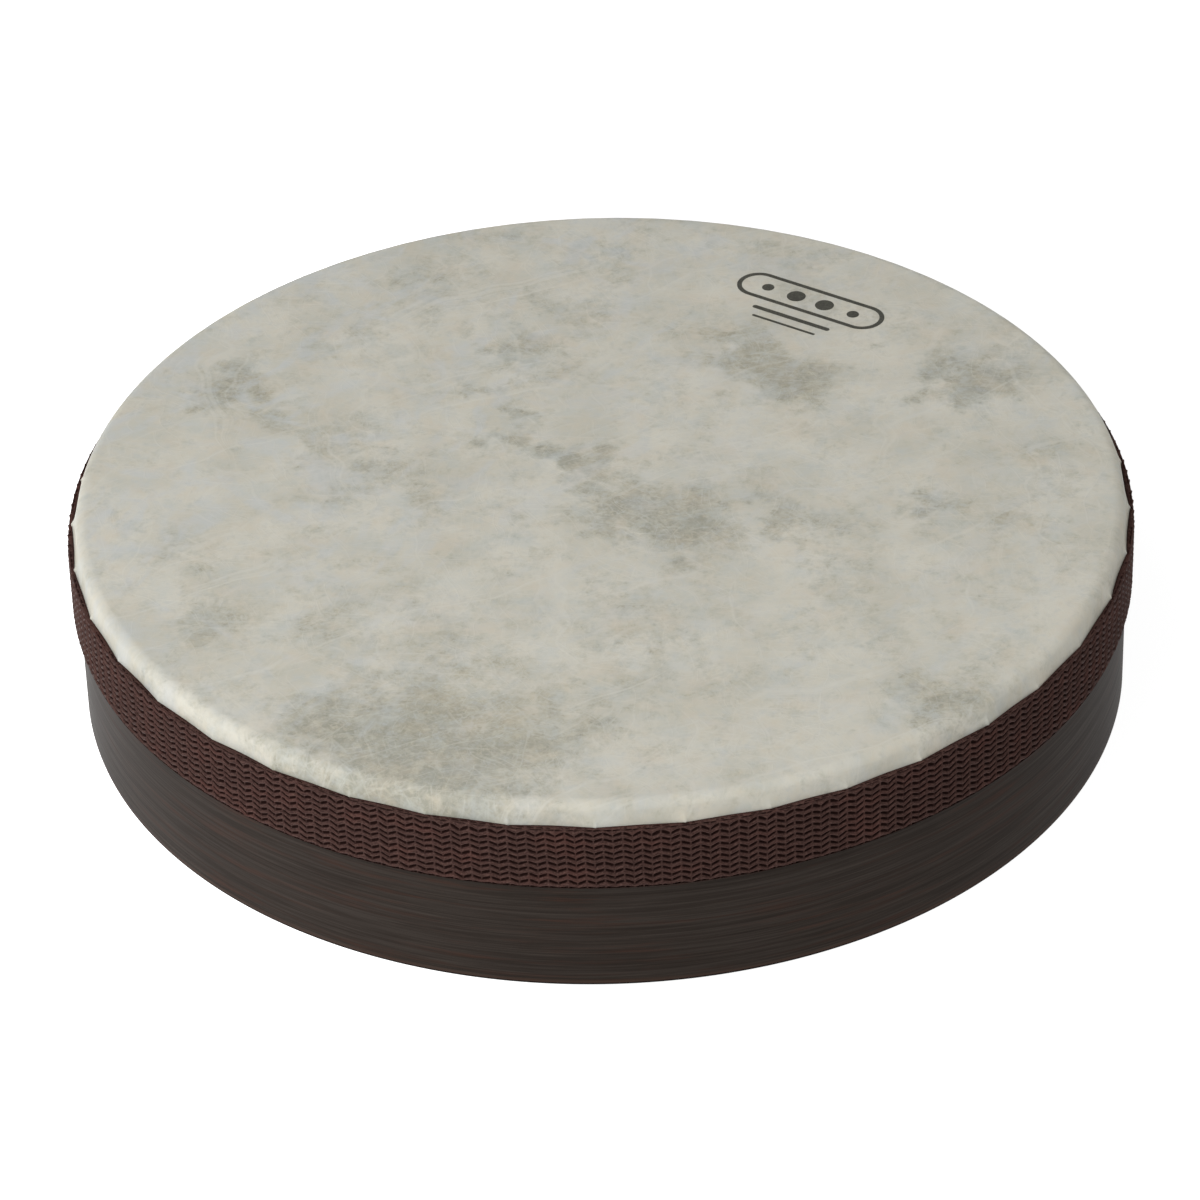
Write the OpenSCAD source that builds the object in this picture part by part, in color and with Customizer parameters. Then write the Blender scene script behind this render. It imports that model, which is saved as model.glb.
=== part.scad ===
// Frame drum with a factory-tensioned fibre-laminated film head and no tuning hardware.
// Origin: centre of the resting edge. +Z points up through the head.

/* [Drum] */
// Outside diameter of the finished shell
drum_d = 304.8; // [200:0.1:560]
// Height from the resting edge to the top of the head
drum_h = 61.5; // [50:0.5:150]

/* [Shell] */
// Number of plies wound into the hoop
ply_count = 6; // [4:1:8]
// Thickness of one ply
ply_t = 1.25; // [1:0.05:1.6]
// Thickness of the wood-grain film wrapped around the hoop
wrap_t = 0.4; // [0.2:0.1:0.8]
// Gap where the two ends of a ply or of the wrap meet
seam_gap = 0.3; // [0.1:0.1:1]
// Rounding of the resting edge's two corners
foot_r = 0.8; // [0.2:0.1:1]
// Chamfer on the inner corner of the bearing edge
crest_chamfer = 0.5; // [0.2:0.1:0.8]

/* [Head] */
// Radius of the collar where the head bends over the bearing edge
collar_r = 5; // [4:0.5:8]
// Thickness of the polyester film
film_t = 0.2; // [0.15:0.05:0.35]
// Thickness of the fibre layer laminated on the film
fibre_t = 0.2; // [0.15:0.05:0.35]
// Thickness of the resin between the head and the shell
bond_t = 0.2; // [0.1:0.05:0.3]
// Depth of the head's skirt below the top of the head
skirt_h = 24; // [20:0.5:28]
// Number of tabs that slits divide the skirt into
tab_count = 41; // [24:1:60]

// Angle from the front to the nearest slit, in degrees
first_slit = -1.2; // [-4:0.1:4]
// Width of one slit
slit_w = 0.8; // [0.4:0.1:1.5]

/* [Webbing] */
// Distance from the top of the head to the webbing's upper edge
band_drop = 6.7; // [6:0.1:12]
// Width of the webbing
band_w = 20; // [18:0.05:25.4]
// Thickness of the webbing
band_t = 1.25; // [0.8:0.05:2]
// Rounding of the webbing's long edges
band_edge_r = 0.3; // [0.1:0.05:0.4]
// Thickness of the adhesive between the head's tabs and the webbing
glue_t = 0.15; // [0.1:0.05:0.3]
// How far the adhesive stops short of the webbing's edges
glue_inset = 1; // [0.5:0.1:2]

/* [Hidden] */
$fn = 180;
shell_r = drum_d / 2;
ply_out_r = shell_r - wrap_t;
shell_in_r = ply_out_r - ply_count * ply_t;

// The collar, the film, the resin and the bearing edge are rounded about one centre
film_in_r = shell_r + bond_t;
fibre_in_r = film_in_r + film_t;
head_r = fibre_in_r + fibre_t;
collar_x = head_r - collar_r;
collar_z = drum_h - collar_r;
crest_z = collar_z + shell_r - collar_x;
skirt_z = drum_h - skirt_h;

band_top = drum_h - band_drop;
band_bottom = band_top - band_w;
band_in_r = head_r + glue_t;
slit_top = band_top - 0.5;
slit_reach = 2;

// One slit faces the front. Each ply's seam is turned on from the last one's, and the seams
// that show outside are at the back.
front_angle = -90;
back_angle = 90;
ply_stagger = 360 / ply_count;
first_ply_angle = 30;
band_seam_angle = back_angle + 12;

function ply_name(i) = str("shell_ply_", i + 1);

// Turns a section around the drum's axis and leaves a gap at one angle for the seam
module hoop(seam_angle, seam_r) {
    gap_angle = seam_gap / seam_r * 180 / PI;
    rotate([0, 0, seam_angle + gap_angle / 2])
        rotate_extrude(angle = 360 - gap_angle)
            children();
}

// Everything inside a radius, with the collar's rounding at the top
module under_collar(r) {
    translate([0, skirt_z])
        square([r, collar_z - skirt_z]);
    square([collar_x, collar_z + r - collar_x]);
    translate([collar_x, collar_z])
        circle(r = r - collar_x);
}

// Material cut from a corner of the resting edge to round it
module foot_corner(corner_x, inward) {
    centre_x = corner_x + inward * foot_r;
    difference() {
        translate([min(corner_x, centre_x), 0])
            square(foot_r);
        translate([centre_x, foot_r])
            circle(r = foot_r);
    }
}

// Section of the whole shell, which its plies and its wrap divide between them
module shell_section() {
    difference() {
        intersection() {
            translate([shell_in_r, 0])
                square([shell_r - shell_in_r, crest_z]);
            union() {
                square([shell_r, collar_z]);
                under_collar(shell_r);
            }
        }
        foot_corner(shell_in_r, 1);
        foot_corner(shell_r, -1);
        polygon([
            [shell_in_r, crest_z],
            [shell_in_r, crest_z - crest_chamfer],
            [shell_in_r + crest_chamfer, crest_z]
        ]);
    }
}

// One layer of the shell between two radii
module shell_layer(inner_r, thickness, seam_angle) {
    hoop(seam_angle, inner_r)
        intersection() {
            shell_section();
            translate([inner_r, 0])
                square([thickness, drum_h]);
        }
}

module shell_ply(i) {
    color(i % 2 == 0 ? "#6b5443" : "#5c4737")
        shell_layer(shell_in_r + i * ply_t, ply_t, first_ply_angle + i * ply_stagger);
}

module shell_wrap() {
    color("#41382f")
        shell_layer(ply_out_r, wrap_t, back_angle);
}

// Section of one layer of the head, from its centre over the collar and down the skirt
module head_section(inner_r, outer_r) {
    difference() {
        under_collar(outer_r);
        square([inner_r, collar_z]);
        under_collar(inner_r);
    }
}

// The slits that divide the skirt into tabs, from below the skirt to just under the webbing's edge
module skirt_slits() {
    for (i = [0 : tab_count - 1])
        rotate([0, 0, front_angle + first_slit + i * 360 / tab_count])
            translate([shell_r - slit_reach, -slit_w / 2, skirt_z - slit_reach])
                cube([2 * slit_reach + head_r - shell_r, slit_w, slit_top - skirt_z + slit_reach]);
}

module head_layer(inner_r, outer_r) {
    difference() {
        rotate_extrude()
            head_section(inner_r, outer_r);
        skirt_slits();
    }
}

// The resin covers the shell from the bearing edge's crest down to the ends of the tabs
module head_bond() {
    color("#a58a5c")
        rotate_extrude()
            difference() {
                head_section(shell_r, film_in_r);
                square([shell_in_r + crest_chamfer, drum_h]);
            }
}

module head_film() {
    color("#d8d6c8")
        head_layer(film_in_r, fibre_in_r);
}

module head_fibre_layer() {
    color("#bebcb1")
        head_layer(fibre_in_r, head_r);
}

// The adhesive is thin over the tabs and fills the step below them
module webbing_adhesive() {
    color("#2e2422")
        rotate_extrude() {
            translate([head_r, skirt_z])
                square([glue_t, band_top - glue_inset - skirt_z]);
            translate([shell_r, band_bottom + glue_inset])
                square([band_in_r - shell_r, skirt_z - band_bottom - glue_inset]);
        }
}

// A rectangle with rounded corners
module rounded_section(w, h, r) {
    translate([r, 0])
        square([w - 2 * r, h]);
    translate([0, r])
        square([w, h - 2 * r]);
    for (x = [r, w - r], y = [r, h - r])
        translate([x, y])
            circle(r = r);
}

module webbing_band() {
    color("#4a322e")
        hoop(band_seam_angle, band_in_r)
            translate([band_in_r, band_bottom])
                rounded_section(band_t, band_w, band_edge_r);
}

for (i = [0 : ply_count - 1])
    shell_ply(i);
shell_wrap();
head_bond();
head_film();
head_fibre_layer();
webbing_adhesive();
webbing_band();
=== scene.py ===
import math

import bpy
import numpy as np
from mathutils import Matrix, Vector


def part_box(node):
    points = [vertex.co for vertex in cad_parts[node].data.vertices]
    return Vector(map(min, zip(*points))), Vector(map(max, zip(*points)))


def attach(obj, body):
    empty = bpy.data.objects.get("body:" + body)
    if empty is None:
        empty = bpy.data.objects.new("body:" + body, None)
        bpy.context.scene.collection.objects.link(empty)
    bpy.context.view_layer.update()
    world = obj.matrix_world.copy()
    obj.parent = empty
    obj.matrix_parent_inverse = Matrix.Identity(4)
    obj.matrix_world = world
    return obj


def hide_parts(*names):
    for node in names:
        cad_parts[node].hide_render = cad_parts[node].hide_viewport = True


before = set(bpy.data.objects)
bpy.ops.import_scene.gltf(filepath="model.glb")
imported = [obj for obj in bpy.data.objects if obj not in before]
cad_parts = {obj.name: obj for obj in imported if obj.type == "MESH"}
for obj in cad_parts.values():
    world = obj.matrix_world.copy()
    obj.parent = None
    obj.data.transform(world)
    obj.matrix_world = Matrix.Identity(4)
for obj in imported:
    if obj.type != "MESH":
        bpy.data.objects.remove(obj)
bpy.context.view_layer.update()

MM = 0.001  # in metres, the scene's unit
FRONT = -math.pi / 2  # azimuth of the side that faces the camera


# ---------------------------------------------------------------- sizes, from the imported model

def outer_radius(node):
    """How far a round node reaches from the drum's axis."""
    low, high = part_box(node)
    return max(high[0], high[1], -low[0], -low[1])


PLY_COUNT = sum(name.startswith("shell_ply_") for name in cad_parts)
PLY_RADII = [outer_radius(f"shell_ply_{i + 1}") for i in range(PLY_COUNT)]
PLY_T = PLY_RADII[1] - PLY_RADII[0]
INNER_R = PLY_RADII[0] - PLY_T
SHELL_R = outer_radius("shell_wrap")
HEAD_R = outer_radius("head_fibre_layer")
FILM_R = outer_radius("head_film")
BOND_R = outer_radius("head_bond")
TOP_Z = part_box("head_fibre_layer")[1][2]
SKIRT_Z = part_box("head_fibre_layer")[0][2]
CREST_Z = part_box("shell_ply_1")[1][2]
BAND_R = outer_radius("webbing_band")
BAND_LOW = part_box("webbing_band")[0][2]
BAND_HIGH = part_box("webbing_band")[1][2]

BEND = 3.6 * MM  # radius of the bend between the head's flat and the collar's wall
WALL_TILT = math.radians(18)  # how far the collar's wall leans in above the webbing
WALL_END = BAND_HIGH - 0.3 * MM
BEND_Z = TOP_Z - BEND
WALL_LENGTH = (BEND_Z + BEND * math.sin(WALL_TILT) - WALL_END) / math.cos(WALL_TILT)
BEND_X = HEAD_R - BEND * math.cos(WALL_TILT) - WALL_LENGTH * math.sin(WALL_TILT)
FOOT_R = 0.8 * MM  # rounding of the resting edge
CREST_CHAMFER = 0.5 * MM
EDGE_X = INNER_R + CREST_CHAMFER  # where the bearing edge's chamfer meets its flat
FACET_ROOM = 0.95 * MM  # how far the shell's top is drawn in to clear the tabs' flats
SEAM_GAP = 0.3 * MM
TAB_COUNT = 41
FIRST_SLIT = math.radians(-1.2)  # from the front to the nearest slit between the tabs
FIRST_PLY_SEAM = math.radians(30)
BACK_SEAM = math.radians(90)
BAND_SEAM = math.radians(102)


# ---------------------------------------------------------------- mesh helpers

def make_object(name, verts, faces, material, smooth_angle=40, attributes=None):
    """A mesh object with outward normals, smooth except across edges sharper than the angle."""
    mesh = bpy.data.meshes.new(name)
    mesh.from_pydata([tuple(v) for v in verts], [], faces)
    mesh.update()
    if signed_volume(mesh) < 0:
        mesh.flip_normals()
    for key, values in (attributes or {}).items():
        layer = mesh.attributes.new(key, "FLOAT_VECTOR", "POINT")
        layer.data.foreach_set("vector", np.asarray(values, dtype=np.float32).ravel())
    mesh.shade_smooth()
    mesh.set_sharp_from_angle(angle=math.radians(smooth_angle))
    mesh.materials.append(material)
    piece = bpy.data.objects.new(name, mesh)
    bpy.context.scene.collection.objects.link(piece)
    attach(piece, "root")
    return piece


def signed_volume(mesh):
    """Volume inside a closed mesh, negative when its faces point inwards."""
    mesh.calc_loop_triangles()
    corners = np.empty(len(mesh.loop_triangles) * 3, dtype=np.int32)
    mesh.loop_triangles.foreach_get("vertices", corners)
    points = np.empty(len(mesh.vertices) * 3)
    mesh.vertices.foreach_get("co", points)
    a, b, c = points.reshape(-1, 3)[corners.reshape(-1, 3)].transpose(1, 0, 2)
    return float(np.einsum("ij,ij->i", a, np.cross(b, c)).sum()) / 6


def sweep_faces(count, loop):
    """Quads that join closed loops of points into an open tube, and a cap at each end."""
    i = np.arange(count - 1)[:, None] * loop
    j = np.arange(loop)[None, :]
    k = (j + 1) % loop
    quads = np.stack([i + j, i + loop + j, i + loop + k, i + k], -1).reshape(-1, 4)
    caps = [list(range(loop))[::-1], list(range((count - 1) * loop, count * loop))]
    return quads.tolist() + caps


def polar(radius, angle, z):
    """Points from cylinder coordinates, in arrays that broadcast together."""
    return np.stack(np.broadcast_arrays(radius * np.cos(angle), radius * np.sin(angle), z), -1)


def hoop_angles(seam, gap, radius, count):
    """Angles once around a hoop from one side of its seam's gap to the other."""
    half = gap / radius / 2
    return np.linspace(seam + half, seam + 2 * math.pi - half, count)


def hoop(name, outline, seam, material, count=361, spread=None):
    """A ring with a seam. outline is a closed loop of (radius, z), spread moves it along the ring."""
    outline = np.array(outline)
    angles = hoop_angles(seam, SEAM_GAP, outline[:, 0].max(), count)
    radii = np.repeat(outline[None, :, 0], count, 0)
    heights = np.repeat(outline[None, :, 1], count, 0)
    if spread is not None:
        radii, heights = spread(radii, heights, angles)
    verts = polar(radii, angles[:, None], heights).reshape(-1, 3)
    arc = np.repeat((angles - seam)[:, None] * outline[:, 0].max(), len(outline), 1)
    surface = np.stack([arc, heights, radii], -1).reshape(-1, 3)
    return make_object(name, verts, sweep_faces(count, len(outline)), material,
                       attributes={"surface": surface})


def smoothstep(low, high, x):
    """0 at low, 1 at high and smooth between them; high may be the lower of the two."""
    t = np.clip((x - low) / (high - low), 0, 1)
    return t * t * (3 - 2 * t)


def wander(x, spacing, seed):
    """A smooth random line through values from -1 to 1, a new one every spacing."""
    rng = np.random.default_rng(seed)
    knots = rng.uniform(-1, 1, int(np.ptp(x) / spacing) + 4)
    t = (x - x.min()) / spacing
    i = t.astype(int)
    f = t - i
    f = f * f * (3 - 2 * f)
    return knots[i] * (1 - f) + knots[i + 1] * f


# ---------------------------------------------------------------- node helpers

class Nodes:
    """Short calls for building one material's node tree."""

    def __init__(self, name):
        self.material = bpy.data.materials.new(name)
        self.material.use_nodes = True
        self.tree = self.material.node_tree
        self.shader = self.tree.nodes["Principled BSDF"]

    def add(self, kind, **inputs):
        """A new shader node with its inputs set or linked; _ stands for a space in their names."""
        node = self.tree.nodes.new("ShaderNode" + kind)
        for key, value in inputs.items():
            self.feed(node.inputs[key.replace("_", " ")], value)
        return node

    def feed(self, socket, value):
        """Link an output to a socket, or set a constant on it."""
        if isinstance(value, bpy.types.NodeSocket):
            self.tree.links.new(value, socket)
        elif isinstance(value, tuple) and len(value) == 3 and socket.type == "RGBA":
            socket.default_value = (*value, 1)
        else:
            socket.default_value = value

    def object_place(self):
        return self.add("TexCoord").outputs["Object"]

    def attribute(self, name):
        """A vector stored on the mesh's points."""
        node = self.add("Attribute")
        node.attribute_name = name
        return node.outputs["Vector"]

    def scaled(self, vector, scale, turn=0.0, shift=(0, 0, 0)):
        scale = scale if isinstance(scale, tuple) else (scale, scale, scale)
        node = self.add("Mapping", Vector=vector, Scale=scale, Location=shift,
                        Rotation=(0, 0, math.radians(turn)))
        return node.outputs[0]

    def join(self, x, y, z):
        return self.add("CombineXYZ", X=x, Y=y, Z=z).outputs[0]

    def vector(self, operation, a, b=(0, 0, 0), c=(0, 0, 0)):
        node = self.tree.nodes.new("ShaderNodeVectorMath")
        node.operation = operation
        for socket, value in zip(node.inputs, (a, b, c)):
            self.feed(socket, value)
        return node.outputs["Value" if operation == "LENGTH" else "Vector"]

    def noise(self, vector, scale=1.0, detail=3.0, rough=0.55, distortion=0.0):
        node = self.add("TexNoise", Vector=vector, Scale=scale, Detail=detail, Roughness=rough,
                        Distortion=distortion)
        return node.outputs["Fac"]

    def ramp(self, value, low, high, smooth=True):
        """0 below low, 1 above high; high may be the lower of the two."""
        node = self.tree.nodes.new("ShaderNodeMapRange")
        node.interpolation_type = "SMOOTHSTEP" if smooth else "LINEAR"
        self.feed(node.inputs["Value"], value)
        if low <= high:
            node.inputs["From Min"].default_value = low
            node.inputs["From Max"].default_value = high
        else:
            node.inputs["From Min"].default_value = high
            node.inputs["From Max"].default_value = low
            node.inputs["To Min"].default_value = 1
            node.inputs["To Max"].default_value = 0
        return node.outputs["Result"]

    def math(self, operation, a, b=0.0, c=0.0):
        node = self.tree.nodes.new("ShaderNodeMath")
        node.operation = operation
        for socket, value in zip(node.inputs, (a, b, c)):
            self.feed(socket, value)
        return node.outputs[0]

    def mix(self, factor, a, b):
        """A colour between a and b."""
        node = self.tree.nodes.new("ShaderNodeMix")
        node.data_type = "RGBA"
        self.feed(node.inputs["Factor"], factor)
        self.feed(node.inputs[6], a)
        self.feed(node.inputs[7], b)
        return node.outputs[2]

    def wash(self, color, value, low, high, share, over):
        """The colour with a share of another over it where the value goes from low to high."""
        return self.mix(self.math("MULTIPLY", self.ramp(value, low, high), share), color, over)

    def blend(self, factor, a, b):
        """A number between a and b."""
        node = self.tree.nodes.new("ShaderNodeMix")
        node.data_type = "FLOAT"
        self.feed(node.inputs[0], factor)
        self.feed(node.inputs[2], a)
        self.feed(node.inputs[3], b)
        return node.outputs[0]

    def bump(self, height, distance, strength):
        node = self.add("Bump", Height=height, Distance=distance, Strength=strength)
        self.feed(self.shader.inputs["Normal"], node.outputs["Normal"])

    def finish(self, color, roughness, **constants):
        """Set the shader's colour, roughness and constants, and return the material."""
        self.feed(self.shader.inputs["Base Color"], color)
        self.feed(self.shader.inputs["Roughness"], roughness)
        for key, value in constants.items():
            self.feed(self.shader.inputs[key.replace("_", " ")], value)
        return self.material


def tone(red, green, blue):
    """A colour given as 0 to 255 display values, in linear light."""
    return tuple((v / 255 / 12.92) if v <= 10 else ((v / 255 + 0.055) / 1.055) ** 2.4
                 for v in (red, green, blue))


# ---------------------------------------------------------------- materials

# Cloudy patches where the head's fibres lie thin, in mm and degrees:
# x, y, half length, half width, turn, strength
CLOUDS = [
    (-52, -121, 42, 28, -4, 1.8),
    (-38, -86, 14, 12, 0, 0.9),
    (-80, -98, 13, 10, 20, 0.9),
    (-6, -112, 12, 18, 30, 0.8),
    (90, -108, 16, 13, 20, 1.1),
    (-112, -63, 9, 12, 20, 1.0),
    (16, -14, 23, 17, -45, 1.5),
    (28, -40, 8, 12, 0, 0.7),
    (-8, 15, 16, 9, -20, 1.6),
    (-22, 30, 12, 6, -50, 1.0),
    (-22, 75, 14, 13, 0, 1.1),
    (-32, 55, 13, 6, 0, 0.8),
    (-107, 57, 17, 11, -20, 1.3),
    (-92, 40, 12, 8, -45, 0.8),
    (-62, 8, 22, 14, -20, 0.75),
    (-74, 32, 16, 8, -45, 0.7),
    (50, 63, 26, 12, -50, 1.4),
    (112, 54, 18, 15, 0, 1.3),
    (57, -18, 19, 7, -50, 1.0),
    (97, -15, 8, 7, 0, 1.0),
    (120, -26, 13, 10, 0, 0.7),
    (-76, 86, 12, 8, 30, 0.8),
    (-52, 112, 12, 20, 0, 0.9),
    (-55, -138, 34, 17, -22, 1.6),
]


# Bundles of fibres, in mm and degrees: turn, length, width, seed, threshold, strength
VEILS = [
    (35, 70, 10, 7, 0.50, 1.0),
    (-60, 60, 12, 8, 0.52, 1.0),
]
STRANDS = [
    (12, 22, 1.1, 1, 0.57, 0.22),
    (-38, 26, 1.2, 2, 0.57, 0.22),
    (72, 22, 1.0, 3, 0.57, 0.22),
    (-80, 24, 1.2, 4, 0.57, 0.22),
    (-8, 120, 3.4, 5, 0.59, 0.3),
    (62, 130, 3.6, 6, 0.59, 0.36),
]


def cloud_cover(n, place):
    """How thin the fibres lie, 0 to 1: the placed patches with wandering outlines."""
    wander_x = n.noise(n.scaled(place, 60), detail=4)
    wander_y = n.noise(n.scaled(place, 60, shift=(7, 3, 1)), detail=4)
    push = n.join(n.math("SUBTRACT", wander_x, 0.5), n.math("SUBTRACT", wander_y, 0.5), 0.0)
    bent = n.vector("MULTIPLY_ADD", push, (0.05, 0.05, 0), place)
    total = n.math("MULTIPLY", n.ramp(n.noise(n.scaled(place, 26), detail=4), 0.42, 0.75), 0.5)
    for x, y, length, width, turn, strength in CLOUDS:
        local = n.tree.nodes.new("ShaderNodeMapping")
        local.vector_type = "TEXTURE"
        n.feed(local.inputs["Vector"], bent)
        local.inputs["Location"].default_value = (x * MM, y * MM, 0)
        local.inputs["Rotation"].default_value = (0, 0, math.radians(turn))
        local.inputs["Scale"].default_value = (length * MM, width * MM, 1000)
        reach = n.vector("LENGTH", local.outputs[0])
        patch = n.math("MULTIPLY", n.ramp(reach, 1.6, 0.0), strength)
        total = n.math("MAXIMUM", total, patch)
    return total


def fibre_strands(n, place, turn, length, width, seed, threshold):
    """Thin light fibres that run one way and bend a little: 1 on a fibre, 0 between."""
    bend = n.noise(n.scaled(place, 20, shift=(seed, 0, 0)), detail=2)
    push = n.join(n.math("MULTIPLY", n.math("SUBTRACT", bend, 0.5), 0.06), 0.0, 0.0)
    turned = n.scaled(n.vector("ADD", place, push), 1, turn=turn, shift=(0, seed * 0.1, 0))
    across, along = 1 / (width * MM), 1 / (length * MM)
    lines = n.noise(n.scaled(turned, (across, along, along)), detail=2, rough=0.7)
    return n.ramp(lines, threshold, threshold + 0.14)


def fibre_bundles(n, place, bundles):
    """Several bundles laid over each other, each with its own strength."""
    total = 0.0
    for turn, length, width, seed, threshold, strength in bundles:
        strand = fibre_strands(n, place, turn, length, width, seed, threshold)
        total = n.math("MAXIMUM", total, n.math("MULTIPLY", strand, strength))
    return total


def fibre_web(n, place, cell, bend, seed):
    """A net of crossing fibres with openings a cell wide, in m: 1 on the net, 0 between."""
    wobble = n.noise(n.scaled(place, 1.2 / cell, shift=(seed, 4, 0)), detail=2)
    other = n.noise(n.scaled(place, 1.2 / cell, shift=(4, seed, 0)), detail=2)
    push = n.join(n.math("MULTIPLY", n.math("SUBTRACT", wobble, 0.5), bend),
                  n.math("MULTIPLY", n.math("SUBTRACT", other, 0.5), bend), 0.0)
    node = n.add("TexVoronoi", Vector=n.vector("ADD", place, push), Scale=1 / cell)
    node.feature = "DISTANCE_TO_EDGE"
    return n.ramp(node.outputs["Distance"], 0.16, 0.02)


def fibre_look(n, place):
    """Colour and height of the head's fibre laminate."""
    cover = cloud_cover(n, place)
    lace = n.noise(n.scaled(place, 120), detail=6, rough=0.72, distortion=0.2)
    grain = n.noise(n.scaled(place, 560, shift=(2, 5, 0)), detail=3, rough=0.7)
    warm = n.noise(n.scaled(place, 24, shift=(9, 2, 0)), detail=3)
    drift = n.noise(n.scaled(place, 44, shift=(1, 8, 0)), detail=6, rough=0.62)
    veils = fibre_bundles(n, place, VEILS)
    frayed = n.ramp(n.noise(n.scaled(place, 130, shift=(3, 7, 0)), detail=4), 0.35, 0.6)
    side = n.add("SeparateXYZ", Vector=n.scaled(place, 1, turn=35)).outputs["X"]
    veils = n.math("MULTIPLY", veils, n.blend(n.ramp(side, 0.03, -0.09), 0.45, 1.0))
    veils = n.math("MULTIPLY", veils, frayed)

    base = n.mix(n.ramp(drift, 0.3, 0.7), tone(178, 175, 162), tone(192, 189, 177))
    flecks = n.noise(n.scaled(place, 260, shift=(5, 1, 0)), detail=5, rough=0.75, distortion=0.6)
    tufts = n.noise(n.scaled(place, 75, shift=(6, 9, 0)), detail=5, rough=0.7)
    dots = 0.0
    for pattern, share in ((tufts, 0.25), (lace, 0.3), (flecks, 0.33), (grain, 0.12), (cover, 0.15)):
        dots = n.math("MULTIPLY_ADD", pattern, share, dots)
    web = n.math("MAXIMUM", fibre_web(n, place, 6.8 * MM, 16 * MM, 1),
                 n.math("MULTIPLY", fibre_web(n, place, 3.1 * MM, 7 * MM, 2), 0.7))
    web = n.math("MULTIPLY", web, n.ramp(flecks, 0.35, 0.6))
    holes = n.math("MULTIPLY", n.ramp(dots, 0.48, 0.70),
                   n.math("SUBTRACT", 1.0, n.math("MULTIPLY", web, 0.4)))
    dark = n.mix(n.ramp(warm, 0.45, 0.7), tone(136, 135, 121), tone(142, 138, 120))
    color = n.mix(n.math("MULTIPLY", holes, 0.85), base, dark)
    tint = n.noise(n.scaled(place, 330, shift=(8, 4, 0)), detail=4, rough=0.7)
    color = n.wash(color, tint, 0.5, 0.75, 0.5, tone(186, 178, 159))
    color = n.wash(color, tint, 0.5, 0.25, 0.5, tone(171, 173, 170))
    blush = n.noise(n.scaled(place, 95, shift=(4, 6, 0)), detail=4, rough=0.6)
    color = n.wash(color, blush, 0.5, 0.72, 0.4, tone(190, 180, 162))
    color = n.wash(color, blush, 0.5, 0.3, 0.35, tone(172, 177, 174))
    color = n.mix(n.math("MULTIPLY", veils, 0.5), color, tone(178, 182, 183))
    strands = fibre_bundles(n, place, STRANDS)
    color = n.mix(strands, color, tone(195, 193, 183))
    height = n.math("ADD", n.math("MULTIPLY", strands, 1.8), n.math("MULTIPLY", grain, 0.4))
    return color, height


def head_material():
    """The fibre layer: cloudy, dull and faintly ridged."""
    n = Nodes("head_fibre_laminate")
    place = n.object_place()
    color, height = fibre_look(n, place)
    n.bump(height, 0.12 * MM, 0.5)
    roughness = n.blend(n.noise(place, 150, 3), 0.42, 0.62)
    return n.finish(color, roughness, Specular_IOR_Level=0.06)


def film_material():
    """The film under the fibre layer, which shows it through a milky, glossy face."""
    n = Nodes("head_polyester_film")
    place = n.object_place()
    color, _ = fibre_look(n, place)
    milky = n.mix(0.55, color, tone(193, 189, 174))
    return n.finish(milky, n.blend(n.noise(place, 60, 2), 0.22, 0.34))


def ink_material():
    """Dark grey ink with paler specks."""
    n = Nodes("printed_ink")
    speckle = n.noise(n.object_place(), 1500, 3)
    color = n.mix(n.ramp(speckle, 0.35, 0.75), tone(58, 57, 50), tone(78, 77, 68))
    return n.finish(color, n.blend(speckle, 0.5, 0.65))


def resin_material():
    """Hard amber resin, glossy and a little lumpy."""
    n = Nodes("amber_resin")
    cloud = n.noise(n.object_place(), 220, 4)
    color = n.mix(n.ramp(cloud, 0.3, 0.7), tone(150, 118, 66), tone(182, 152, 96))
    n.bump(cloud, 0.2 * MM, 0.4)
    return n.finish(color, n.blend(cloud, 0.15, 0.3))


def ply_material():
    """Resin-bound wood fibre: brown sheet with fine fibres along the hoop."""
    n = Nodes("shell_ply_fibre")
    surface = n.attribute("surface")
    streaks = n.noise(n.scaled(surface, (60, 900, 900)), detail=5, rough=0.65, distortion=0.3)
    blotches = n.noise(n.scaled(surface, (18, 40, 40)), detail=3)
    color = n.mix(n.ramp(streaks, 0.3, 0.7), tone(84, 66, 50), tone(122, 98, 74))
    color = n.wash(color, blotches, 0.4, 0.7, 0.5, tone(72, 56, 43))
    n.bump(streaks, 0.2 * MM, 0.6)
    return n.finish(color, n.blend(streaks, 0.62, 0.82))


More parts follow.
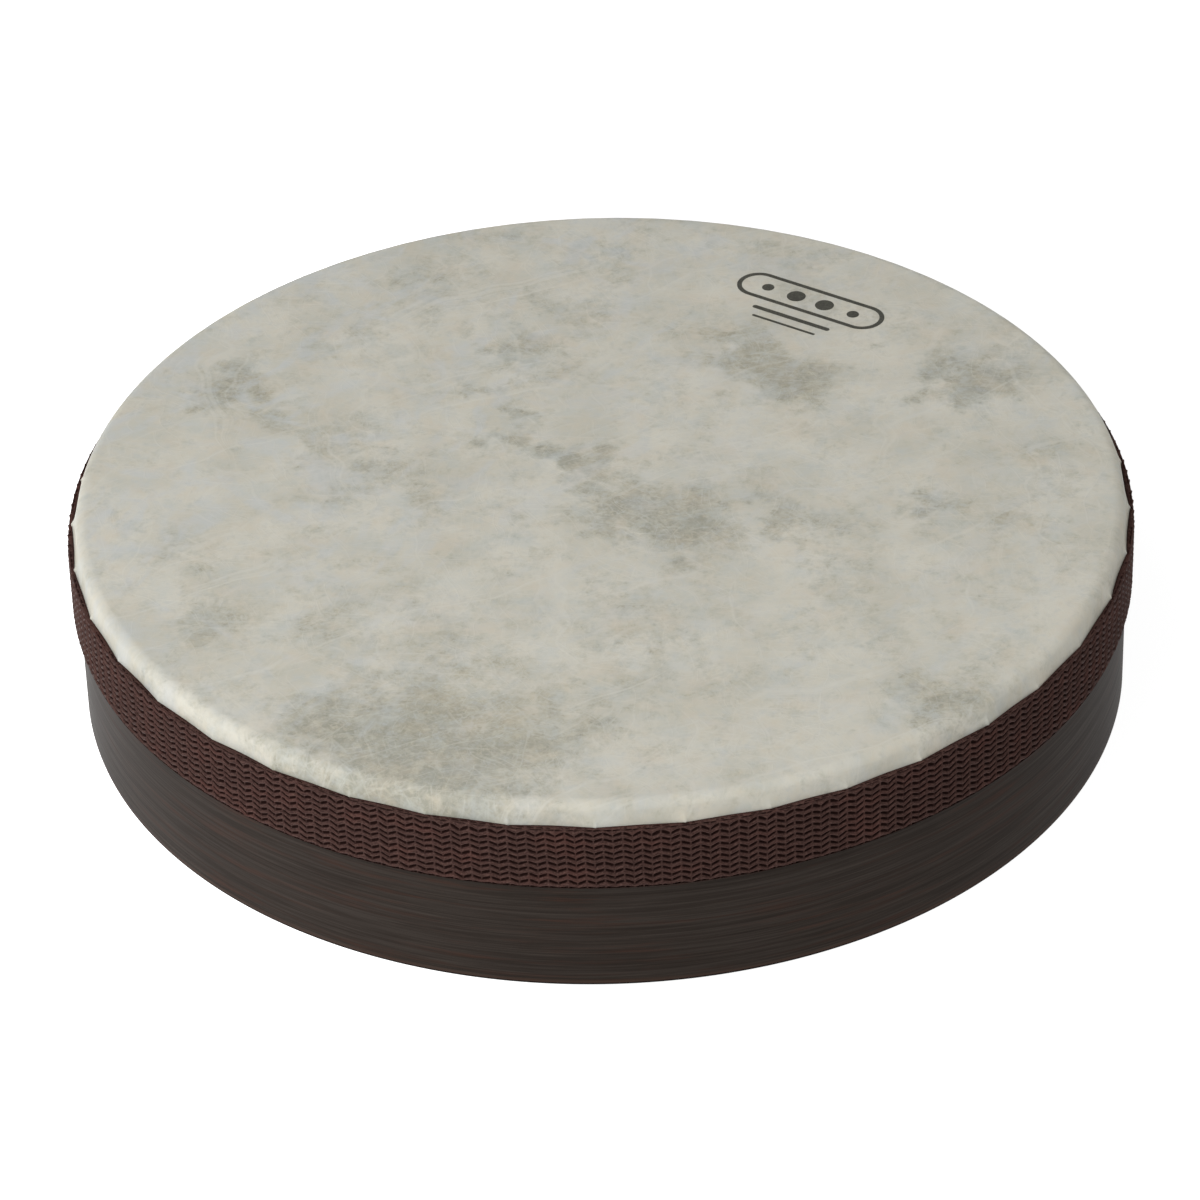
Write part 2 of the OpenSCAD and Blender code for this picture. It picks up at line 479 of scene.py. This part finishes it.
def wrap_material():
    """Dark wood-grain film: fine streaks along the hoop under a satin coat, worn at the foot, with a
    painted contact shadow along its very bottom.
    """
    n = Nodes("shell_wood_grain_film")
    surface = n.attribute("surface")
    height = n.add("SeparateXYZ", Vector=surface).outputs["Y"]
    fine = n.noise(n.scaled(surface, (32, 2100, 1)), detail=4, rough=0.7, distortion=0.25)
    lines = n.noise(n.scaled(surface, (16, 760, 1), shift=(2, 6, 0)), detail=4, rough=0.65,
                    distortion=0.5)
    hue = n.noise(n.scaled(surface, (26, 420, 1), shift=(5, 3, 0)), detail=4, rough=0.7)
    color = n.mix(n.ramp(lines, 0.35, 0.62), tone(51, 45, 41), tone(41, 35, 31))
    color = n.wash(color, fine, 0.5, 0.7, 0.45, tone(30, 25, 22))
    color = n.wash(color, fine, 0.5, 0.32, 0.45, tone(62, 55, 50))
    color = n.wash(color, hue, 0.5, 0.72, 0.5, tone(62, 40, 32))
    rub = n.math("ADD", height, n.math("MULTIPLY", hue, 2.2 * MM))
    color = n.wash(color, rub, 3.4 * MM, 1.6 * MM, 0.5, tone(76, 54, 43))
    # Painted shadow: a near-black line along the shell's lowest millimetre, where it meets the floor.
    color = n.wash(color, height, 1.2 * MM, 0.6 * MM, 0.95, tone(9, 7, 6))
    n.bump(fine, 0.05 * MM, 0.25)
    roughness = n.blend(n.ramp(fine, 0.3, 0.7), 0.47, 0.53)
    return n.finish(color, roughness, Specular_IOR_Level=0.03)


def webbing_material():
    """Brown yarn: filament streaks along each rib, and painted shade that darkens the holes between
    the ribs and the band's lip and back.
    """
    n = Nodes("webbing_brown_yarn")
    weave = n.attribute("weave")
    depth = n.add("SeparateXYZ", Vector=weave).outputs["Z"]
    strands = n.noise(n.scaled(weave, (500, 5200, 0)), detail=3, rough=0.6)
    tint = n.noise(n.scaled(weave, (60, 160, 0), shift=(4, 1, 0)), detail=3)
    yarn = n.mix(n.ramp(strands, 0.3, 0.72), tone(51, 36, 33), tone(81, 59, 54))
    speckle = n.noise(n.scaled(weave, (1500, 2200, 0), shift=(7, 2, 0)), detail=3, rough=0.7)
    yarn = n.wash(yarn, tint, 0.48, 0.7, 0.35, tone(87, 55, 49))
    # Painted highlight: the pale specks stand in for glints off the yarn's filaments; the dark specks
    # below are tone.
    yarn = n.wash(yarn, speckle, 0.5, 0.72, 0.45, tone(106, 83, 75))
    yarn = n.wash(yarn, speckle, 0.5, 0.3, 0.5, tone(40, 26, 23))
    # Painted shade: the yarn turns near black the lower a point lies in the holes, and on the lip and
    # back by the depth they are given.
    hole_shade = n.ramp(depth, 0.58, 0.18)
    color = n.mix(n.math("MULTIPLY", hole_shade, 0.92), yarn, tone(26, 13, 11))
    n.bump(n.math("ADD", strands, speckle), 0.14 * MM, 0.7)
    roughness = n.blend(hole_shade, n.blend(strands, 0.42, 0.62), 1.0)
    return n.finish(color, roughness, Specular_IOR_Level=0.03)


def adhesive_material():
    """Dark, half-glossy glue."""
    n = Nodes("dark_adhesive")
    grain = n.noise(n.object_place(), 400, 3)
    color = n.mix(grain, tone(34, 27, 25), tone(52, 42, 38))
    n.bump(grain, 0.2 * MM, 0.5)
    return n.finish(color, n.blend(grain, 0.4, 0.6))


def floor_material():
    """A pale floor lit from within like a light table, so the drum throws hardly any shadow."""
    n = Nodes("pale_floor")
    grain = n.noise(n.object_place(), 3, 2)
    color = n.mix(grain, tone(96, 96, 96), tone(100, 100, 100))
    across = n.add("SeparateXYZ", Vector=n.object_place()).outputs["X"]
    glow = n.blend(n.ramp(across, 0.0, -0.12, smooth=False), FLOOR_GLOW, FLOOR_GLOW_LEFT)
    return n.finish(color, 0.8, Specular_IOR_Level=0.0, Emission_Color=(1.0, 1.0, 1.0),
                    Emission_Strength=glow)


# ---------------------------------------------------------------- shell

WALL_STEPS = 12  # points up each wall of a shell layer's section


def foot(radius):
    """Height of the resting edge's underside at a radius: flat, with both corners rounded."""
    inside = np.maximum(0, INNER_R + FOOT_R - radius)
    outside = np.maximum(0, radius - (SHELL_R - FOOT_R))
    over = np.minimum(np.maximum(inside, outside), FOOT_R)
    return FOOT_R - np.sqrt(FOOT_R ** 2 - over ** 2)


def under_head(depth):
    """Radius and height, over the collar, of the face that lies this deep under the head."""
    profile, normals = head_profile()
    over = (profile[:, 0] > EDGE_X) & (profile[:, 1] >= WALL_END - 0.01 * MM)
    below = profile[over] - depth * normals[over]
    return np.concatenate([[(EDGE_X, TOP_Z - depth)], below])


def crest(radius):
    """Height of the bearing edge at a radius: it follows the head, with a small chamfer inside."""
    edge = under_head(HEAD_R - SHELL_R)
    followed = np.interp(radius, edge[:, 0], edge[:, 1])
    return np.minimum(followed, CREST_Z - CREST_CHAMFER + (radius - INNER_R))


def press(outline):
    """Draw in what lies hidden under the head's skirt, where the head's flats need the room."""
    radius, height = np.asarray(outline).T
    under = smoothstep(BAND_LOW + 6 * MM, BAND_HIGH - 4 * MM, height)
    squeeze = FACET_ROOM * under * smoothstep(EDGE_X, SHELL_R, radius)
    return np.stack([radius - squeeze, height], -1)


def layer_outline(inner, outer, steps=7, groove=0.09 * MM):
    """Section of one shell layer, with its corners eased so that each layer shows at the edge."""
    radii = np.linspace(inner, outer, steps)
    ease = np.zeros(steps)
    ease[[0, -1]] = groove
    levels = np.linspace(2 * MM, min(BAND_HIGH, crest(outer)) - MM, WALL_STEPS)
    low = np.stack([radii, foot(radii) + ease], -1)
    high = np.stack([radii, crest(radii) - ease], -1)[::-1]
    outside = np.stack([np.full(WALL_STEPS, outer), levels], -1)
    inside = np.stack([np.full(WALL_STEPS, inner), levels[::-1]], -1)
    return press(np.concatenate([low, outside, high, inside]))


def build_plies(material):
    """The wound plies, with their seams spread evenly around the hoop."""
    for i in range(PLY_COUNT):
        outline = layer_outline(PLY_RADII[i] - PLY_T, PLY_RADII[i])
        seam = FIRST_PLY_SEAM + i * 2 * math.pi / PLY_COUNT
        piece = hoop(f"hoop_ply_{i + 1}", outline, seam, material)
        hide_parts(f"shell_ply_{i + 1}")


def build_wrap(material):
    """The wood-grain film round the outermost ply, with its two ends slightly lifted."""
    inner = PLY_RADII[-1]
    outline = layer_outline(inner, SHELL_R, steps=5, groove=0.04 * MM)

    def lift_at_seam(radii, heights, angles):
        ends = np.minimum(angles - angles[0], angles[-1] - angles) * SHELL_R
        lift = 0.05 * MM * np.exp(-ends / (1.2 * MM))[:, None]
        return radii + lift * (radii > inner + 0.1 * MM), heights

    piece = hoop("wood_grain_wrap", outline, BACK_SEAM, material, count=541, spread=lift_at_seam)
    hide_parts("shell_wrap")


# ---------------------------------------------------------------- head

TAB_PITCH = 2 * math.pi / TAB_COUNT
SLIT_TOP = BAND_HIGH - 0.5 * MM
TAB_DIP = 0.75 * MM  # how far a tab's middle lies inside its creases
CREASE_H = 0.42 * MM  # how far a crease stands out
CREASE_W = 0.6 * MM  # half its width
CREASE_TOP = 2.2 * MM  # how far it runs up from the webbing
PUCKER = 0.05 * MM  # ripple of the flat's rim between the slits
PLAY = 0.02 * MM  # between layers that would else share a face
BEAD_R = 0.75 * MM  # size of the resin's bead along the inside of the crest
# Columns of points on a tab, as shares of its width from slit to slit
TAB_STEPS = np.array([0, 0.017, 0.034, 0.06, 0.1, 0.17, 0.26, 0.37, 0.5,
                      0.63, 0.74, 0.83, 0.9, 0.94, 0.966, 0.983])


def tab_layout():
    """Azimuths of the slits, with the first one again at the end, and how far each tab dips."""
    rng = np.random.default_rng(11)
    jitter = rng.uniform(-0.35, 0.35, TAB_COUNT)
    slits = FRONT + FIRST_SLIT + TAB_PITCH * np.arange(TAB_COUNT) + np.radians(jitter)
    dips = TAB_DIP * rng.uniform(0.8, 1.15, TAB_COUNT)
    return np.append(slits, slits[0] + 2 * math.pi), dips


def facet_dip(angles):
    """How far the tabs' flats lie inside the round skirt at these azimuths."""
    slits, dips = tab_layout()
    turned = slits[0] + (angles - slits[0]) % (2 * math.pi)
    tab = np.clip(np.searchsorted(slits, turned, side="right") - 1, 0, TAB_COUNT - 1)
    place = 2 * (turned - slits[tab]) / (slits[tab + 1] - slits[tab]) - 1
    return dips[tab] * (1 - np.abs(place) ** 1.7)


def tab_angles():
    """Column angles, each column's place on its tab from -1 to 1 at the slits, and its tab."""
    slits, _ = tab_layout()
    angles = slits[:-1, None] + np.diff(slits)[:, None] * TAB_STEPS
    places = np.broadcast_to(2 * TAB_STEPS - 1, angles.shape)
    tabs = np.broadcast_to(np.arange(TAB_COUNT)[:, None], angles.shape)
    return angles.ravel(), places.ravel(), tabs.ravel()


def head_profile():
    """Radius and height down the head's outer face, from near its centre to the tabs' ends.

    The outward normal at each point comes with them.
    """
    disc = [(r, TOP_Z, math.pi / 2) for r in np.linspace(6 * MM, BEND_X - 16 * MM, 10)]
    rim = [(r, TOP_Z, math.pi / 2) for r in np.linspace(BEND_X - 13 * MM, BEND_X - MM, 7)]
    bend = [(BEND_X + BEND * math.cos(a), BEND_Z + BEND * math.sin(a), a)
            for a in np.linspace(math.pi / 2, WALL_TILT, 12)]
    wall = [(HEAD_R - share * WALL_LENGTH * math.sin(WALL_TILT),
             WALL_END + share * WALL_LENGTH * math.cos(WALL_TILT), WALL_TILT)
            for share in (0.85, 0.7, 0.55, 0.4, 0.28, 0.18, 0.09)]
    wall.append((HEAD_R, WALL_END, WALL_TILT / 2))
    skirt = [(HEAD_R, z, 0) for z in (SLIT_TOP, SLIT_TOP - 3 * MM, SLIT_TOP - 8 * MM, SKIRT_Z)]
    rows = np.array(disc + rim + bend + wall + skirt)
    return rows[:, :2], np.stack([np.cos(rows[:, 2]), np.sin(rows[:, 2])], -1)


def head_surface(inset):
    """Points of the head, (profile, angle, 3), with the tabs' facets and the creases at the slits."""
    profile, normals = head_profile()
    angles, places, creases = tab_angles()
    radius, height = profile[:, :1], profile[:, 1:]
    across, up = normals[:, :1], normals[:, 1:]

    rng = np.random.default_rng(23)
    sharp = CREASE_H * rng.uniform(0.45, 1.3, TAB_COUNT)
    reach = CREASE_TOP * rng.uniform(0.7, 1.35, TAB_COUNT)
    near = np.where(places < 0, creases, (creases + 1) % TAB_COUNT)

    flat = smoothstep(TOP_Z - 1.4 * MM, WALL_END + 0.8 * MM, height)
    dip = flat * facet_dip(angles)
    arc = (1 - np.abs(places)) * TAB_PITCH / 2 * HEAD_R
    above = height - BAND_HIGH
    fade = smoothstep(reach[near], 0, above) * smoothstep(-0.6 * MM, 0.3 * MM, above)
    crease = sharp[near] * np.exp(-(arc / CREASE_W) ** 2) * fade
    pucker = PUCKER * np.cos(places * math.pi) * smoothstep(BEND_X - 9 * MM, BEND_X, radius)
    pucker = pucker * smoothstep(TOP_Z - 3 * MM, TOP_Z - 0.3 * MM, height)
    push = crease - dip - inset
    out_r = radius + push * across
    out_z = height + push * up - np.abs(pucker)
    return polar(out_r, angles[None, :], out_z)


def sheet_cells(rows, columns):
    """Which cells of the head's grid of points are filled: all but those in the slits."""
    profile, _ = head_profile()
    slit_row = profile[:, 1] < SLIT_TOP + 0.01 * MM
    per_tab = len(TAB_STEPS)
    beside_slit = np.isin(np.arange(columns) % per_tab, (0, per_tab - 1))
    filled = np.ones((rows - 1, columns), bool)
    filled[np.ix_(slit_row[:-1], beside_slit)] = False
    return filled


def sheet_faces(rows, columns):
    """Faces of a closed sheet: outer and inner face, the slits' walls and the tabs' ends.

    The outer face's points come first, then the inner face's, then the two points at the centre.
    """
    filled = sheet_cells(rows, columns)
    shift = rows * columns
    faces = []
    for i in range(rows - 1):
        for j in range(columns):
            if not filled[i, j]:
                continue
            k = (j + 1) % columns
            a, d = i * columns + j, i * columns + k
            b, c = a + columns, d + columns
            faces.append((a, b, c, d))
            faces.append((d + shift, c + shift, b + shift, a + shift))
            if i + 1 == rows - 1 or not filled[i + 1, j]:
                faces.append((b, b + shift, c + shift, c))
            if not filled[i, j - 1]:
                faces.append((a, a + shift, b + shift, b))
            if not filled[i, k]:
                faces.append((c, c + shift, d + shift, d))
    for j in range(columns):
        k = (j + 1) % columns
        faces.append((2 * shift, j, k))
        faces.append((2 * shift + 1, k + shift, j + shift))
    return faces


def build_head_layer(name, outset, inset, material, node):
    """One layer of the head, between two depths under the head's outer face."""
    outer, inner = head_surface(outset), head_surface(inset)
    rows, columns = outer.shape[:2]
    verts = np.concatenate([outer.reshape(-1, 3), inner.reshape(-1, 3),
                            [(0, 0, TOP_Z - outset), (0, 0, TOP_Z - inset)]])
    verts, faces = drop_unused(verts, sheet_faces(rows, columns))
    piece = make_object(name, verts, faces, material, smooth_angle=60)
    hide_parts(node)


def drop_unused(verts, faces):
    """The points that some face uses, and the faces with the points' new numbers."""
    used = sorted({i for face in faces for i in face})
    place = {old: new for new, old in enumerate(used)}
    return np.asarray(verts)[used], [tuple(place[i] for i in face) for face in faces]


def build_bond(material):
    """The resin under the head, squeezed out in an uneven bead along the inside of the crest."""
    over = under_head(HEAD_R - BOND_R + PLAY)
    under = under_head(HEAD_R - SHELL_R - PLAY)[::-1]
    skirt = np.array([(BOND_R - PLAY, SKIRT_Z), (SHELL_R + PLAY, SKIRT_Z)])
    top = over[0, 1]
    drop = np.array([(EDGE_X - BEAD_R * math.sin(a), top - BEAD_R * (1 - math.cos(a)))
                     for a in np.radians([75, 50, 25])])
    outline = press(np.concatenate([over, skirt, under, drop]))
    is_bead = len(outline) - len(drop)

    def uneven(radii, heights, angles):
        swell = 0.35 * wander(angles, 0.05, 5) + 0.25 * wander(angles, 0.19, 6)
        reach = EDGE_X - radii[:, is_bead:]
        fall = top - heights[:, is_bead:]
        radii[:, is_bead:] -= reach * swell[:, None]
        heights[:, is_bead:] -= fall * swell[:, None]
        return radii, heights

    piece = hoop("head_resin_bond", outline, BACK_SEAM, material, count=541, spread=uneven)
    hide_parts("head_bond")


# ---------------------------------------------------------------- generic printed mark

MARK_ANGLE = math.radians(56)  # azimuth of the mark on the head
INK_T = 0.03 * MM
# All in mm: distances out from the head's centre, and lengths and widths
BADGE_OUT = 117.3
BADGE_LENGTH = 50
BADGE_WIDTH = 13.5
BADGE_LINE = 1.5
DOTS = [(-15, 1.9), (-5, 2.9), (5, 2.9), (15, 1.9)]  # place along the badge, radius
BARS = [(106.0, 27, 1.7), (101.6, 22, 1.0)]  # distance out, length, width


def mark_place(along, out):
    """A point on the head in the mark's own axes: along its baseline, and out from the centre."""
    outward = np.array([math.cos(MARK_ANGLE), math.sin(MARK_ANGLE)])
    baseline = np.array([outward[1], -outward[0]])
    return np.asarray(along)[..., None] * baseline + np.asarray(out)[..., None] * outward


def pill(length, width, centre_out, steps=24):
    """Outline of a bar with round ends, centred on the mark's axis, in mm."""
    r = width / 2
    straight = length / 2 - r
    ends = [(side * straight + r * math.sin(a) * side, centre_out + r * math.cos(a) * side)
            for side in (1, -1) for a in np.linspace(0, math.pi, steps)]
    return np.array(ends)


def disc(centre_along, centre_out, radius, steps=28):
    """Outline of a dot in the mark's axes, in mm."""
    a = np.linspace(0, 2 * math.pi, steps, endpoint=False)
    return np.stack([centre_along - radius * np.sin(a), centre_out + radius * np.cos(a)], -1)


def plate(outline, hole=None):
    """A thin closed plate on the head from an outline in the mark's axes, or a ring round a hole."""
    low, high = TOP_Z - INK_T / 2, TOP_Z + INK_T
    loops = [outline] if hole is None else [outline, hole]
    n = len(outline)
    verts = []
    for loop in loops:
        flat = mark_place(loop[:, 0] * MM, loop[:, 1] * MM)
        for z in (low, high):
            verts.append(np.column_stack([flat, np.full(n, z)]))
    verts = np.concatenate(verts)
    i = np.arange(n)
    k = (i + 1) % n
    outside = np.stack([i, k, k + n, i + n], -1).tolist()
    if hole is None:
        return verts, outside + [list(range(n))[::-1], list(range(n, 2 * n))]
    inside = np.stack([k + 2 * n, i + 2 * n, i + 3 * n, k + 3 * n], -1).tolist()
    top = np.stack([i + n, k + n, k + 3 * n, i + 3 * n], -1).tolist()
    under = np.stack([k, i, i + 2 * n, k + 2 * n], -1).tolist()
    return verts, outside + inside + top + under


def build_mark(material):
    """A plain badge in place of the maker's: a pill outline, a row of dots and two bars."""
    parts = [plate(pill(BADGE_LENGTH, BADGE_WIDTH, BADGE_OUT),
                   pill(BADGE_LENGTH - 2 * BADGE_LINE, BADGE_WIDTH - 2 * BADGE_LINE, BADGE_OUT))]
    parts += [plate(disc(along, BADGE_OUT, radius)) for along, radius in DOTS]
    parts += [plate(pill(length, width, out, 8)) for out, length, width in BARS]
    verts, faces, count = [], [], 0
    for part_verts, part_faces in parts:
        verts.append(part_verts)
        faces += [[i + count for i in face] for face in part_faces]
        count += len(part_verts)
    piece = make_object("generic_printed_badge", np.concatenate(verts), faces, material)


# ---------------------------------------------------------------- webbing

PERIODS = 186  # zigzags around the drum
ROWS = 10
ROW_PITCH = (BAND_HIGH - BAND_LOW) / ROWS
RELIEF = 0.95 * MM  # depth of the holes between the ribs
SWING = 0.27  # half height of a zigzag, in rows
BAND_T = 1.22 * MM  # from the ribs to the adhesive
SELVEDGE_IN = 0.42 * MM  # how far the corners of the selvedges lie inside the ribs
SELVEDGE_BEAD = 0.10 * MM  # waves along the corners, one for each leg of a zigzag
CLEARANCE = 0.05 * MM  # between the webbing's lip and what it covers
LIP_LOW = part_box("webbing_adhesive")[1][2] + CLEARANCE
END_MELT = 1.3 * MM  # length over which the cut ends are melted smooth
# Points along one zigzag, from vertex to vertex, and across one rib, from the hole below it
ALONG_STEPS = np.array([0, 0.125, 0.25, 0.375, 0.5, 0.625, 0.75, 0.875])
ACROSS_STEPS = np.array([0, 0.17, 0.26, 0.5, 0.74, 0.83])


def zigzag(u):
    """-1 at whole numbers, 1 halfway between them, straight in between."""
    return 1 - 4 * np.abs(u - np.floor(u) - 0.5)


def rib_height(u, v):
    """0 at the bottom of the holes, 1 on the ribs' knuckles: u along the band, v across it."""
    from_middle = np.abs(2 * (v - np.floor(v)) - 1)
    between_ribs = from_middle > 0.6
    from_vertex = np.abs(2 * u - np.round(2 * u)) / 2
    knuckle = 0.5 + 0.5 * np.cos(4 * math.pi * (u + 0.03))
    crest = 0.88 + 0.12 * knuckle
    round_off = 1 - 0.42 * (from_middle / 0.52) ** 2
    bridge = 0.6 * crest
    hole = smoothstep(0.07, 0.12, from_vertex) * between_ribs
    return np.where(between_ribs, bridge, crest * round_off) * (1 - hole)


def top_selvedge(v):
    """1 on the webbing's top row, 0 below it."""
    return smoothstep(ROWS - 1.3, ROWS - 0.5, v)


def weave_height(u, v, along, ends):
    """The ribs' height all over the band, uneven from place to place and melted at the ends."""
    height = rib_height(u[:, None], v[None, :])
    height -= 0.2 * top_selvedge(v) * (v < ROWS - 0.1) * np.sin(math.pi * 2 * u[:, None]) ** 2
    plump = 0.5 + 0.5 * np.sin(7.3 * v[None, :] + 40 * wander(along, 7 * MM, 35)[:, None])
    height *= 1 - 0.06 * plump
    gap = np.exp(-((u - np.round(u)) / 0.045) ** 2)[:, None]
    height *= 1 - gap * (0.28 + 0.16 * wander(along, 45 * MM, 38)[:, None])
    melt = np.exp(-(ends / END_MELT) ** 2)[:, None]
    return np.maximum(height * (1 - melt) + 0.55 * melt, 0)


def weave_level(u, v, along):
    """Height above the floor of each point of the band's face: the zigzags, a little uneven."""
    swing = (SWING + 0.12 * top_selvedge(v)) * smoothstep(-0.3, 0.9, np.minimum(v, ROWS - v))
    uneven = 1 + 0.3 * wander(along, 4 * MM, 33)[:, None]
    z = BAND_LOW + ROW_PITCH * (v + swing * zigzag(u)[:, None] * uneven)
    z += ROW_PITCH * 0.12 * wander(along, 3 * MM, 34)[:, None] * np.sin(1.7 * v)
    z += ROW_PITCH * 0.16 * wander(along, 19 * MM, 37)[:, None] * np.sin(math.pi * v / ROWS)
    return z


def webbing_sides(u, angles):
    """Radius, height, place across and depth of the points round the band's back and lip. The depth
    only sets how much painted shade they get.
    """
    ring = np.ones((len(u), 1))
    corner_r = (BAND_R - SELVEDGE_IN) * ring
    inner_r = (BAND_R - BAND_T) * ring
    lip_r = HEAD_R + CLEARANCE - facet_dip(angles)[:, None]
    bead = 0.04 * MM + SELVEDGE_BEAD * (0.5 + 0.5 * np.cos(4 * math.pi * u[:, None]))
    # Last column is painted shade depth, lower is darker: the lip and back at 0.35 and 0.3 come out
    # dark.
    sides = [
        (corner_r, BAND_HIGH - bead, 1.01, 0.6),
        (lip_r, BAND_HIGH * ring, 1.05, 0.35),
        (lip_r, LIP_LOW * ring, 1.1, 0.3),
        (inner_r, (LIP_LOW - PLAY) * ring, 1.15, 0.3),
        (inner_r, BAND_LOW * ring, -0.05, 0.3),
        (corner_r, BAND_LOW + bead, -0.01, 0.6),
    ]
    radii, heights, across, depth = zip(*sides)
    depths = np.broadcast_to(depth, (len(u), len(sides)))
    return np.hstack(radii), np.hstack(heights), ROWS * np.array(across), depths


def build_webbing(material):
    """The woven band: its ribs and holes outside, and a lip that follows the head's flats."""
    u = np.concatenate([period + ALONG_STEPS for period in range(PERIODS)] + [[PERIODS]])
    v = np.concatenate([row + ACROSS_STEPS for row in range(ROWS)] + [[ROWS]])
    first, last = hoop_angles(BAND_SEAM, SEAM_GAP, BAND_R, 2)
    along = u / PERIODS * (last - first) * BAND_R
    stretch = 0.35 * MM * wander(along, 26 * MM, 31) + 0.15 * MM * wander(along, 9 * MM, 32)
    ends = np.minimum(along, along[-1] - along)
    calm = smoothstep(0, 8 * MM, ends)
    angles = first + (along + stretch * calm) / BAND_R

    height = weave_height(u, v, along, ends)
    round_edge = 0.16 * MM * smoothstep(0.5, 0.0, np.minimum(v, ROWS - v))
    radius = BAND_R - RELIEF * (1 - height) - round_edge
    lean = (0.3 + 0.5 * wander(along, 34 * MM, 36)[:, None]) * MM * (v - ROWS / 2) / ROWS
    side_r, side_z, side_v, side_shade = webbing_sides(u, angles)

    radii = np.hstack([radius, side_r])
    heights = np.hstack([weave_level(u, v, along), side_z])
    tilt = np.hstack([lean, np.zeros(side_r.shape)]) / BAND_R * calm[:, None]
    verts = polar(radii, angles[:, None] - tilt, heights).reshape(-1, 3)
    count, loop = radii.shape
    weave = np.stack([np.broadcast_to(along[:, None], (count, loop)),
                      np.broadcast_to(np.concatenate([v, side_v]) * ROW_PITCH, (count, loop)),
                      np.hstack([height, side_shade])], -1)
    piece = make_object("woven_webbing", verts, sweep_faces(count, loop), material,
                        smooth_angle=80, attributes={"weave": weave.reshape(-1, 3)})
    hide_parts("webbing_band")


# ---------------------------------------------------------------- camera, floor and light

CAMERA_DISTANCE = 1.636  # metres
CAMERA_ELEVATION = math.radians(35.2)
CAMERA_ROLL = math.radians(-1.68)
CAMERA_AIM = Vector((-0.85 * MM, 0, 21.34 * MM))
CAMERA_LENS = 167.35  # mm, on a sensor 36 mm wide

FLOOR_HALF = 15.0  # metres
FLOOR_GLOW = 0.95
FLOOR_GLOW_LEFT = 1.75  # the key side, which the shell's left flank reflects
BACKDROP_GLOW = 0.95
BACKDROP_TOP = (0.10, 0.24)  # sines of the elevations between which the backdrop fades out
ROOM_GLOW = 0.06
WHITE = (1.0, 1.0, 1.0)
COOL = (0.985, 0.99, 1.015)
# Name, azimuth and elevation in degrees, distance and side in metres, watts and colour
LIGHTS = [
    ("key", -23, 35, 1.4, 1.0, 7.4, WHITE),
    ("left_fill", -90, 60, 1.8, 1.1, 10.5, COOL),
    ("left_front_fill", -45, 60, 1.8, 1.1, 11.5, COOL),
    ("low_left", -80, 10, 1.8, 1.1, 3.5, COOL),
    ("right_fill", 85, 60, 1.8, 1.1, 9, WHITE),
]


def build_camera():
    """A long lens that looks down on the front of the drum, with a slight roll."""
    camera = bpy.data.cameras.new("camera")
    camera.lens = CAMERA_LENS
    camera.sensor_width = 36
    camera.clip_end = 50
    holder = bpy.data.objects.new("camera", camera)
    away = Vector((0, -math.cos(CAMERA_ELEVATION), math.sin(CAMERA_ELEVATION)))
    look = away.to_track_quat("Z", "Y").to_matrix().to_4x4()
    holder.matrix_world = (Matrix.Translation(CAMERA_AIM + away * CAMERA_DISTANCE) @ look
                           @ Matrix.Rotation(CAMERA_ROLL, 4, "Z"))
    bpy.context.scene.collection.objects.link(holder)
    bpy.context.scene.camera = holder


def soft_light(name, azimuth, elevation, distance, size, watts, color):
    """A square area light that faces the drum. Azimuth 0 is the front, and it grows to the right."""
    light = bpy.data.lights.new(name, "AREA")
    light.size = size
    light.energy = watts
    light.color = color
    turn, lift = math.radians(azimuth), math.radians(elevation)
    away = Vector((math.sin(turn) * math.cos(lift), -math.cos(turn) * math.cos(lift), math.sin(lift)))
    holder = bpy.data.objects.new(name, light)
    holder.location = away * distance
    holder.rotation_euler = away.to_track_quat("Z", "Y").to_euler()
    bpy.context.scene.collection.objects.link(holder)


def build_world():
    """A dim room with a white band low around it, which stands in for a studio's backdrop."""
    world = bpy.data.worlds.new("studio")
    world.use_nodes = True
    tree = world.node_tree
    direction = tree.nodes.new("ShaderNodeTexCoord").outputs["Generated"]
    split = tree.nodes.new("ShaderNodeSeparateXYZ")
    tree.links.new(direction, split.inputs[0])
    fade = tree.nodes.new("ShaderNodeMapRange")
    tree.links.new(split.outputs["Z"], fade.inputs["Value"])
    fade.inputs["From Min"].default_value = BACKDROP_TOP[0]
    fade.inputs["From Max"].default_value = BACKDROP_TOP[1]
    fade.inputs["To Min"].default_value = BACKDROP_GLOW
    fade.inputs["To Max"].default_value = ROOM_GLOW
    tree.links.new(fade.outputs["Result"], tree.nodes["Background"].inputs["Strength"])
    tree.nodes["Background"].inputs["Color"].default_value = (1, 1, 1, 1)
    bpy.context.scene.world = world


def build_stage(material):
    """The floor and the lights."""
    mesh = bpy.data.meshes.new("floor")
    corners = [(x * FLOOR_HALF, y * FLOOR_HALF, 0) for x, y in ((-1, -1), (1, -1), (1, 1), (-1, 1))]
    mesh.from_pydata(corners, [], [(0, 1, 2, 3)])
    mesh.materials.append(material)
    floor = bpy.data.objects.new("floor", mesh)
    bpy.context.scene.collection.objects.link(floor)
    for light in LIGHTS:
        soft_light(*light)
    bpy.context.scene.view_settings.view_transform = "Standard"


build_world()
build_camera()
build_stage(floor_material())
build_plies(ply_material())
build_wrap(wrap_material())
build_head_layer("head_fibre_sheet", 0.0, HEAD_R - FILM_R, head_material(),
                 "head_fibre_layer")
build_head_layer("head_film_sheet", HEAD_R - FILM_R + PLAY, HEAD_R - BOND_R, film_material(),
                 "head_film")
build_bond(resin_material())
build_mark(ink_material())
build_webbing(webbing_material())
# The adhesive lies hidden behind the webbing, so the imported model's own solid stays
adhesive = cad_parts["webbing_adhesive"]
adhesive.data.materials.clear()
adhesive.data.materials.append(adhesive_material())
